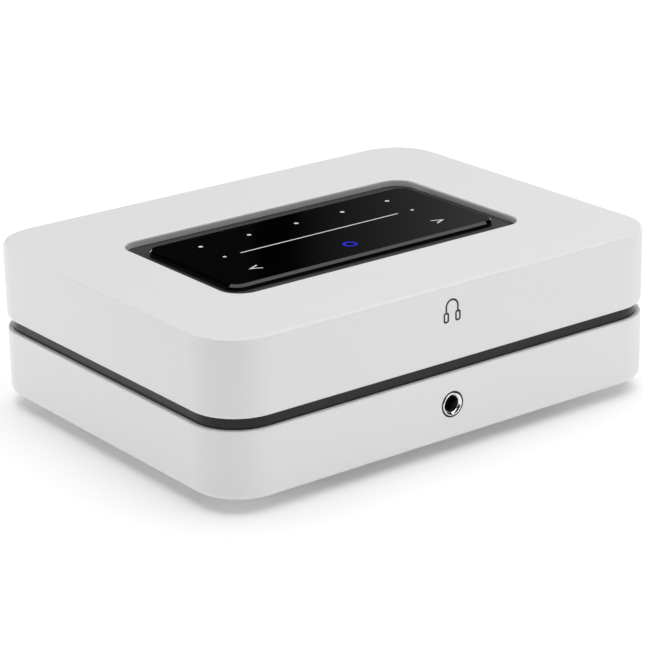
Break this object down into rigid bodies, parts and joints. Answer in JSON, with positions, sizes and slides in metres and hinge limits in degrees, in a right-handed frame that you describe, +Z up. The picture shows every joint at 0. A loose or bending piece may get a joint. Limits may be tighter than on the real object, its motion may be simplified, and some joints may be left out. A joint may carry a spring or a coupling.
{
  "type": "network audio receiver amplifier",
  "caption": "Low white rounded box with a dark seam, a black touch glass set in its top, a headphone socket in front and speaker terminals behind.",
  "frame": {"origin": "middle of the casing's plan, on the underside of the rubber pad, where the receiver stands", "axes": "+X to the right seen from the front, +Y towards the rear, +Z up"},
  "size_m": [0.22, 0.1875, 0.07],
  "materials": {
    "white_casing": "satin white moulded plastic",
    "black_plastic": "fine matt black moulding",
    "red_plastic": "glossy red moulding",
    "rubber_pad": "matt black rubber",
    "adhesive": "thin black adhesive foam",
    "panel_glass": "glossy glass, black behind",
    "printed_mark": "pale grey lit mark",
    "status_light": "blue lit ring",
    "symbol_ink": "matt black inlay",
    "clear_plastic": "clear light pipe plastic",
    "polished_chrome": "polished bright ring",
    "gold_plate": "gold-plated brass",
    "nickel_steel": "nickel-plated steel",
    "pale_insulator": "pale insulating plastic",
    "dark_insert": "black contact blocks",
    "circuit_green": "green solder-masked board",
    "circuit_tan": "tan power board",
    "module_can": "stamped shield can",
    "anodised": "grey anodised aluminium",
    "ferrite": "dark ferrite",
    "capacitor_sleeve": "dark blue sleeve",
    "barrier_film": "cream insulating film",
    "transformer_tape": "yellow tape over ferrite",
    "fuse_metal": "nickel clips and caps",
    "ribbon_white": "white flat ribbon",
    "wire_red": "red insulated wire",
    "brass_spacer": "turned brass"
  },
  "bodies": {
    "root": {"upper_casing": "white_casing", "lower_casing": "white_casing", "seam_band": "black_plastic", "base_plinth": "black_plastic", "base_pad": "rubber_pad", "panel_tray": "black_plastic", "glass_adhesive": "adhesive", "touch_glass": "panel_glass", "preset_marks": "printed_mark", "volume_marks": "printed_mark", "skip_marks": "printed_mark", "status_ring": "status_light", "light_guide": "clear_plastic", "touch_board": "circuit_green", "front_symbol": "symbol_ink", "jack_bezel": "polished_chrome", "jack_gasket": "rubber_pad", "headphone_jack": "black_plastic", "headphone_board": "circuit_green", "rear_panel": "black_plastic", "terminal_studs": "gold_plate", "terminal_nuts": "nickel_steel", "red_collars": "red_plastic", "black_collars": "black_plastic", "mains_inlet": "black_plastic", "mains_pins": "nickel_steel", "network_shell": "nickel_steel", "video_shell": "nickel_steel", "usb_shell": "nickel_steel", "socket_inserts": "dark_insert", "subwoofer_barrel": "nickel_steel", "subwoofer_insulator": "pale_insulator", "line_jack": "black_plastic", "main_board": "circuit_green", "processor_shield": "nickel_steel", "wireless_module": "module_can", "amplifier_board": "circuit_green", "heatsink": "anodised", "output_inductors": "ferrite", "output_capacitors": "capacitor_sleeve", "power_board": "circuit_tan", "insulating_sheet": "barrier_film", "transformer": "transformer_tape", "bulk_capacitors": "capacitor_sleeve", "mains_choke": "ferrite", "fuse": "fuse_metal", "touch_ribbon": "ribbon_white", "antennas": "circuit_green", "internal_wires": "wire_red", "board_standoffs": "brass_spacer", "casing_screws": "nickel_steel", "small_screws": "nickel_steel"},
    "left_plus_washer": {"left_plus_washer": "nickel_steel"},
    "left_plus_knob": {"left_plus_knob": "red_plastic"},
    "left_minus_washer": {"left_minus_washer": "nickel_steel"},
    "left_minus_knob": {"left_minus_knob": "black_plastic"},
    "right_plus_washer": {"right_plus_washer": "nickel_steel"},
    "right_plus_knob": {"right_plus_knob": "red_plastic"},
    "right_minus_washer": {"right_minus_washer": "nickel_steel"},
    "right_minus_knob": {"right_minus_knob": "black_plastic"}
  },
  "joints": [
    {"name": "left_plus_lift", "type": "slide", "parent": "root", "child": "left_plus_washer", "axis": [0, 1, 0], "range_m": [0, 0.004]},
    {"name": "left_plus_turn", "type": "hinge", "parent": "left_plus_washer", "child": "left_plus_knob", "pos_m": [0.07, 0.0942, 0.05], "axis": [0, 1, 0], "range_deg": [0, 1440]},
    {"name": "left_minus_lift", "type": "slide", "parent": "root", "child": "left_minus_washer", "axis": [0, 1, 0], "range_m": [0, 0.004]},
    {"name": "left_minus_turn", "type": "hinge", "parent": "left_minus_washer", "child": "left_minus_knob", "pos_m": [0.05, 0.0942, 0.05], "axis": [0, 1, 0], "range_deg": [0, 1440]},
    {"name": "right_plus_lift", "type": "slide", "parent": "root", "child": "right_plus_washer", "axis": [0, 1, 0], "range_m": [0, 0.004]},
    {"name": "right_plus_turn", "type": "hinge", "parent": "right_plus_washer", "child": "right_plus_knob", "pos_m": [0.03, 0.0942, 0.05], "axis": [0, 1, 0], "range_deg": [0, 1440]},
    {"name": "right_minus_lift", "type": "slide", "parent": "root", "child": "right_minus_washer", "axis": [0, 1, 0], "range_m": [0, 0.004]},
    {"name": "right_minus_turn", "type": "hinge", "parent": "right_minus_washer", "child": "right_minus_knob", "pos_m": [0.01, 0.0942, 0.05], "axis": [0, 1, 0], "range_deg": [0, 1440]}
  ],
  "couplings": [
    {"joint": "left_plus_turn", "follows": "left_plus_lift", "rad_per_m": 6283.2},
    {"joint": "left_minus_turn", "follows": "left_minus_lift", "rad_per_m": 6283.2},
    {"joint": "right_plus_turn", "follows": "right_plus_lift", "rad_per_m": 6283.2},
    {"joint": "right_minus_turn", "follows": "right_minus_lift", "rad_per_m": 6283.2}
  ]
}
